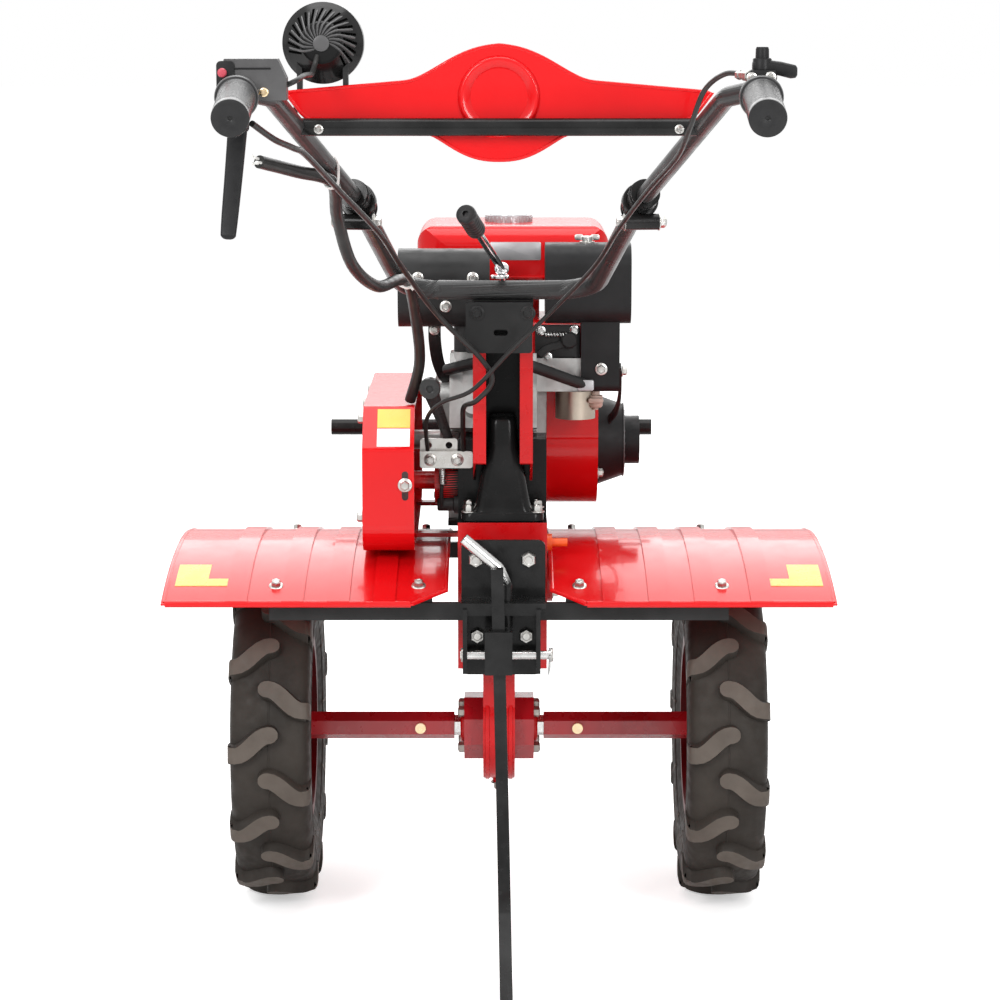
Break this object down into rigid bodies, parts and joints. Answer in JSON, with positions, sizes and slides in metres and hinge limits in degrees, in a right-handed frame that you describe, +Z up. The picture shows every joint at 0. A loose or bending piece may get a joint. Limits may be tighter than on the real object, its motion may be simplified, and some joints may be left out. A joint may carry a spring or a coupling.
{
  "type": "two-wheel walking tractor",
  "caption": "Walk-behind two-wheel tractor with lugged tyres, red fenders and gearbox, belt-driven petrol engine, long handlebar with dash panel, and a rear drag bar.",
  "frame": {"origin": "on the ground under the middle of the whole machine's box", "axes": "+X to the right as the driver stands, +Y forward from the grips to the bumper, +Z up"},
  "size_m": [0.766, 1.268, 1.071],
  "materials": {
    "tyre_rubber": "matte moulded rubber",
    "wheel_red": "satin dark red paint",
    "bright_steel": "bright steel",
    "zinc": "yellowish zinc plate",
    "body_red": "gloss red paint",
    "plug_orange": "orange moulded plastic",
    "black_paint": "gloss black paint",
    "grip_rubber": "ribbed black rubber",
    "black_plastic": "moulded black plastic",
    "clear_lens": "clear ribbed lens",
    "belt_rubber": "matte belt rubber",
    "cast_alloy": "as cast alloy",
    "cap_chrome": "polished metal"
  },
  "bodies": {
    "chassis": {"final_drive_case": "body_red", "bearing_covers": "body_red", "main_gearbox": "body_red", "oil_plug": "plug_orange", "shift_tower": "black_paint", "handle_post": "body_red", "handle_bracket": "black_paint", "handle_base": "black_paint", "handle_clamps": "black_paint", "handle_left": "black_paint", "handle_right": "black_paint", "crossbar": "black_paint", "grip_left": "grip_rubber", "grip_right": "grip_rubber", "dash_panel": "body_red", "headlamp": "black_plastic", "headlamp_lens": "clear_lens", "headlamp_bracket": "black_paint", "clutch_lever": "black_plastic", "throttle_lever": "black_plastic", "switch_box": "black_plastic", "gear_lever": "bright_steel", "gear_knob": "black_plastic", "range_lever": "black_plastic", "cable_bracket": "zinc", "engine_stay": "black_paint", "fender_left": "body_red", "fender_right": "body_red", "fender_supports": "black_paint", "hitch_bracket": "black_paint", "hitch_yoke": "black_paint", "hitch_pin": "bright_steel", "drag_bar_sleeve": "black_paint", "drag_bar": "black_paint", "belt_guard": "body_red", "engine_pulley": "bright_steel", "gearbox_pulley": "bright_steel", "v_belts": "belt_rubber", "crankcase": "cast_alloy", "cylinder_head": "cast_alloy", "blower_housing": "body_red", "recoil_starter": "black_plastic", "fuel_tank": "body_red", "fuel_cap": "cap_chrome", "air_cleaner": "black_plastic", "muffler": "black_paint", "carburettor": "cast_alloy", "engine_frame": "black_paint", "front_bumper": "black_paint", "wiring_conduit": "black_plastic", "clutch_cable": "black_plastic", "throttle_cable": "black_plastic"},
    "wheelset": {"tyre_left": "tyre_rubber", "tyre_right": "tyre_rubber", "rim_left": "wheel_red", "rim_right": "wheel_red", "axle_tube_left": "wheel_red", "axle_tube_right": "wheel_red", "drive_shaft": "bright_steel", "axle_pins": "zinc"}
  },
  "joints": [
    {"name": "axle_spin", "type": "hinge", "parent": "chassis", "child": "wheelset", "pos_m": [0, 0.32038, 0.205], "axis": [-1, 0, 0], "continuous": true}
  ]
}
